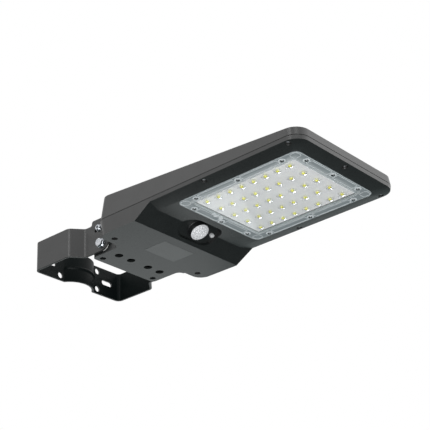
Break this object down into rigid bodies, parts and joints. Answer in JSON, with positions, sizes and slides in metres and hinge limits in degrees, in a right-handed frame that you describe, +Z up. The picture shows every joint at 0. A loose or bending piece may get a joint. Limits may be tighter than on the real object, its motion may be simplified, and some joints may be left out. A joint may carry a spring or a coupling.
{
  "type": "solar street lamp",
  "caption": "Wedge-shaped solar street lamp head with LED lens plate, motion sensor and mode button, on a bent pole bracket with a tilt joint.",
  "frame": {"origin": "centre of the four clamp holes on the back face of the bracket, on the axis plane of the pole's saddle", "axes": "+X from the pole out along the lamp head, +Y to the lamp's left seen from the pole, +Z up with the LEDs facing down"},
  "size_m": [0.4526, 0.194, 0.0534],
  "materials": {
    "bracket_coat": "fine satin powder coat",
    "upper_shell": "fine textured, satin",
    "lower_shell": "fine textured, satin",
    "seal_rubber": "matt",
    "screw_steel": "bright zinc plated",
    "bolt_steel": "bright stainless",
    "panel_glass": "clear low-iron",
    "silicon": "dark blue silicon under laminate",
    "backsheet": "white film",
    "clear_pc": "clear polycarbonate",
    "white_board": "white solder mask",
    "phosphor": "yellow phosphor",
    "spreader_alu": "milled",
    "bezel_black": "satin",
    "fresnel_white": "milky polyethylene",
    "sensor_can": "plated can",
    "green_board": "green solder mask",
    "part_black": "moulded",
    "button_white": "translucent",
    "cell_wrap": "shrink sleeve",
    "nickel": "nickel strip",
    "foam": "closed-cell foam",
    "white_silicone": "moulded silicone",
    "wire_red": "silicone insulation",
    "wire_black": "silicone insulation",
    "label_film": "matt polyester film, blank",
    "nylon": "natural nylon",
    "insert_brass": "turned"
  },
  "bodies": {
    "bracket": {"mount_bracket": "bracket_coat"},
    "head": {"upper_housing": "upper_shell", "lower_housing": "lower_shell", "housing_seal": "seal_rubber", "case_screws": "screw_steel", "rear_case_screws": "screw_steel", "solar_glass": "panel_glass", "solar_cells": "silicon", "panel_backsheet": "backsheet", "panel_seal": "seal_rubber", "lens_plate": "clear_pc", "lens_gasket": "white_silicone", "lens_screws": "screw_steel", "led_board": "white_board", "led_chips": "phosphor", "heat_spreader": "spreader_alu", "spreader_screws": "screw_steel", "pir_bezel": "bezel_black", "pir_lens": "fresnel_white", "pir_sensor": "sensor_can", "sensor_board": "green_board", "sensor_screws": "screw_steel", "button_switch": "part_black", "battery_cells": "cell_wrap", "cell_tabs": "nickel", "battery_cradle": "part_black", "battery_pad": "foam", "control_board": "green_board", "board_parts": "part_black", "board_screws": "screw_steel", "led_leads": "wire_red", "battery_leads": "wire_red", "panel_leads": "wire_black", "label_plate": "label_film", "pivot_bolts": "bolt_steel", "pivot_washers": "bolt_steel", "pivot_spring_washers": "bolt_steel", "pivot_spacers": "nylon", "pivot_inserts": "insert_brass", "lock_bolts": "bolt_steel", "lock_washers": "bolt_steel", "lock_inserts": "insert_brass"},
    "button": {"mode_button": "button_white"}
  },
  "joints": [
    {"name": "head_tilt", "type": "hinge", "parent": "bracket", "child": "head", "pos_m": [0.1073, 0, -0.0102], "axis": [0, 1, 0], "range_deg": [-15, 15]},
    {"name": "button_press", "type": "slide", "parent": "head", "child": "button", "axis": [-0.5098, 0, 0.8603], "range_m": [0, 0.0008], "stiffness_N_per_m": 1500, "springref_m": -0.0005}
  ]
}
